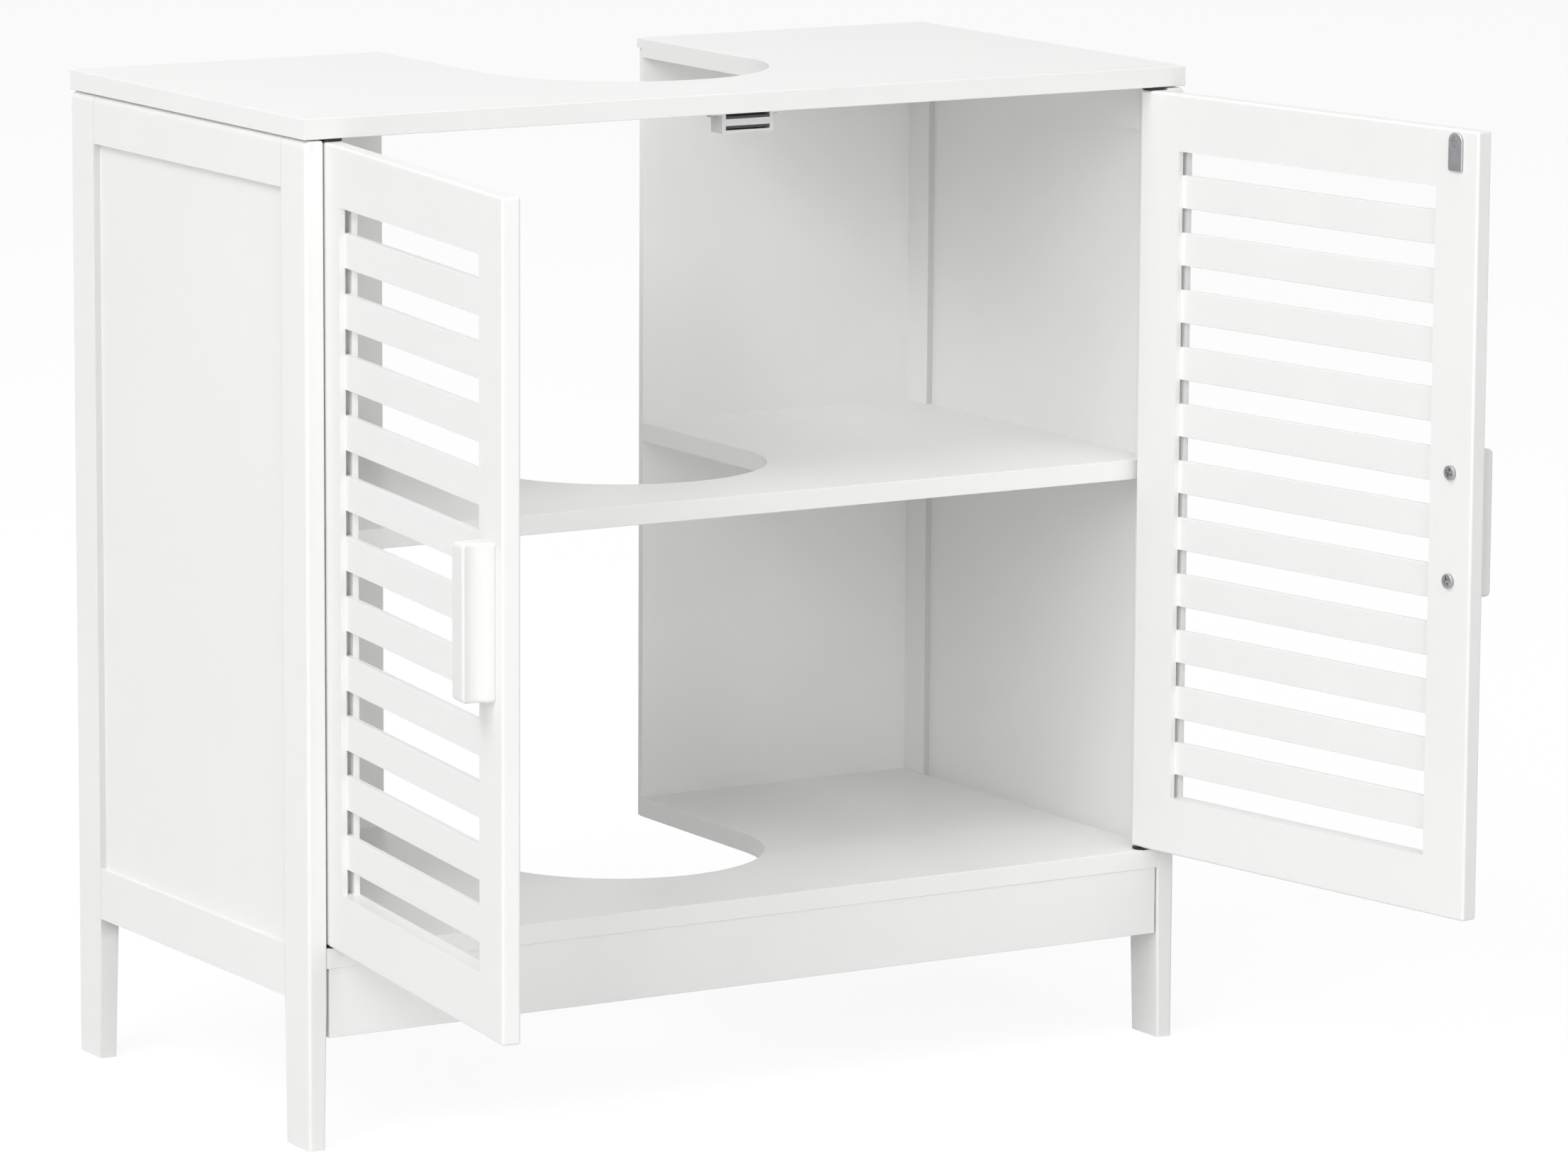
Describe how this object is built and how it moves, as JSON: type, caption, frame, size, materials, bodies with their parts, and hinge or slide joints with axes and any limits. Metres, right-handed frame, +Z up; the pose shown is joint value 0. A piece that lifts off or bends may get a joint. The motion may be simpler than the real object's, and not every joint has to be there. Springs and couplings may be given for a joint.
{
  "type": "sink base cabinet",
  "caption": "Freestanding two-door sink base cabinet with slatted doors on pivot pins, one shelf and a U-shaped pipe cut-out open at the back",
  "frame": {"origin": "mid-width, where the wall plane behind the cabinet meets the floor", "axes": "+X to the right seen from the front, +Y from the front to the wall, +Z up"},
  "size_m": [0.6883, 0.5721, 0.6],
  "materials": {
    "board": "white lacquered board, satin",
    "panel": "thin white lacquered board, satin",
    "frame": "white painted wood, satin",
    "door_frame": "white painted wood, satin",
    "door_slats": "white painted flat slats, satin",
    "handle": "white, slightly glossy",
    "white_plastic": "white moulded plastic",
    "black_plastic": "black moulded plastic",
    "fitting_plastic": "natural plastic",
    "fitting_steel": "zinc plated steel",
    "steel_plate": "plain steel",
    "pin_steel": "zinc plated steel",
    "magnet": "ferrite, dull grey",
    "dowel": "plain beech"
  },
  "bodies": {
    "cabinet": {"top_board": "board", "shelf_board": "board", "bottom_board": "board", "front_apron": "board", "left_back_panel": "panel", "right_back_panel": "panel", "left_front_leg": "frame", "left_rear_leg": "frame", "left_side_top_rail": "frame", "left_side_bottom_rail": "frame", "left_side_panel": "panel", "right_front_leg": "frame", "right_rear_leg": "frame", "right_side_top_rail": "frame", "right_side_bottom_rail": "frame", "right_side_panel": "panel", "rail_dowels": "dowel", "top_dowels": "dowel", "apron_dowels": "dowel", "top_spacers": "fitting_plastic", "cam_bolts": "fitting_steel", "cam_locks": "fitting_steel", "back_panel_screws": "fitting_steel", "catch_housing": "white_plastic", "catch_pole_plates": "steel_plate", "catch_magnet": "magnet", "catch_screws": "fitting_steel", "top_pivot_bushes": "black_plastic", "bottom_pivot_bushes": "black_plastic"},
    "left_door": {"left_door_hinge_stile": "door_frame", "left_door_latch_stile": "door_frame", "left_door_top_rail": "door_frame", "left_door_bottom_rail": "door_frame", "left_door_slats": "door_slats", "left_door_handle": "handle", "left_door_handle_screws": "fitting_steel", "left_door_strike_plate": "steel_plate", "left_door_strike_screw": "fitting_steel", "left_door_top_pin": "pin_steel", "left_door_bottom_pin": "pin_steel"},
    "right_door": {"right_door_hinge_stile": "door_frame", "right_door_latch_stile": "door_frame", "right_door_top_rail": "door_frame", "right_door_bottom_rail": "door_frame", "right_door_slats": "door_slats", "right_door_handle": "handle", "right_door_handle_screws": "fitting_steel", "right_door_strike_plate": "steel_plate", "right_door_strike_screw": "fitting_steel", "right_door_top_pin": "pin_steel", "right_door_bottom_pin": "pin_steel"}
  },
  "joints": [
    {"name": "left_door_hinge", "type": "hinge", "parent": "cabinet", "child": "left_door", "pos_m": [-0.2805, -0.2945, 0.353], "axis": [0, 0, -1], "range_deg": [-97.6, 7.4]},
    {"name": "right_door_hinge", "type": "hinge", "parent": "cabinet", "child": "right_door", "pos_m": [0.2805, -0.2945, 0.353], "axis": [0, 0, 1], "range_deg": [-99.5, 5.5]}
  ]
}
